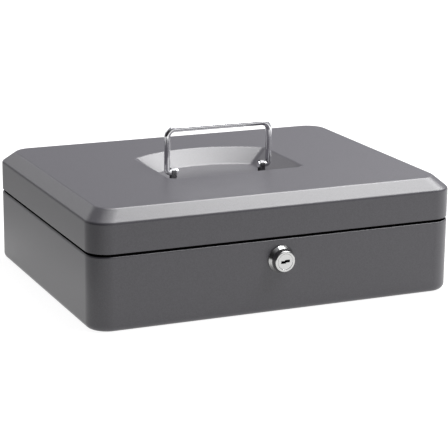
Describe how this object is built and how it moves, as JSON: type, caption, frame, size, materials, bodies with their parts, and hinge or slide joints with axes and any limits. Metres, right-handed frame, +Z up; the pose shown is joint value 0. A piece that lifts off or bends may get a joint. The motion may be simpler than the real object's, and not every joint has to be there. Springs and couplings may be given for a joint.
{
  "type": "lockable cash box",
  "caption": "Lockable sheet-steel cash and document box with hinged lid, recessed wire carrying handle, cylinder cam lock and lift-out compartment tray.",
  "frame": {"origin": "middle of the tub's flat underside, on the surface that the box stands on", "axes": "+X across the width to the right seen from the lock side, +Y from the lock towards the hinges, +Z up"},
  "size_m": [0.3, 0.2428, 0.1236],
  "materials": {
    "grey_paint": "dark grey powder coat with a fine grain, satin",
    "chrome_plate": "bright chrome plate",
    "zinc_plate": "zinc plated, dull",
    "brass_wafer": "stamped brass",
    "tray_plastic": "black moulded plastic, fine grain"
  },
  "bodies": {
    "box": {"body_shell": "grey_paint", "left_tray_ledge": "grey_paint", "right_tray_ledge": "grey_paint", "left_hinge_body_leaf": "zinc_plate", "right_hinge_body_leaf": "zinc_plate", "left_hinge_pin": "zinc_plate", "right_hinge_pin": "zinc_plate", "body_hinge_rivets": "zinc_plate", "lock_housing": "chrome_plate", "lock_nut": "zinc_plate", "lock_washer": "zinc_plate"},
    "lid": {"lid_shell": "grey_paint", "left_handle_bracket": "chrome_plate", "right_handle_bracket": "chrome_plate", "lid_strike": "zinc_plate", "left_hinge_lid_leaf": "zinc_plate", "right_hinge_lid_leaf": "zinc_plate", "lid_hinge_rivets": "zinc_plate"},
    "handle": {"carry_handle": "chrome_plate"},
    "lock_barrel": {"lock_plug": "chrome_plate", "lock_cam": "zinc_plate", "cam_screw": "zinc_plate", "lock_wafers": "brass_wafer", "wafer_springs": "zinc_plate"},
    "tray": {"coin_tray": "tray_plastic", "tray_cross_wall": "tray_plastic", "coin_dividers": "tray_plastic", "note_dividers": "tray_plastic"}
  },
  "joints": [
    {"name": "lid_hinge", "type": "hinge", "parent": "box", "child": "lid", "pos_m": [0, 0.1154, 0.0591], "axis": [-1, 0, 0], "range_deg": [0, 100]},
    {"name": "handle_fold", "type": "hinge", "parent": "lid", "child": "handle", "pos_m": [0, 0.001, 0.0864], "axis": [-1, 0, 0], "range_deg": [-80, 90]},
    {"name": "lock_turn", "type": "hinge", "parent": "box", "child": "lock_barrel", "pos_m": [0, -0.11, 0.0417], "axis": [0, -1, 0], "range_deg": [0, 90]},
    {"name": "tray_lift", "type": "slide", "parent": "box", "child": "tray", "axis": [0, 0, 1], "range_m": [0, 0.018]}
  ]
}
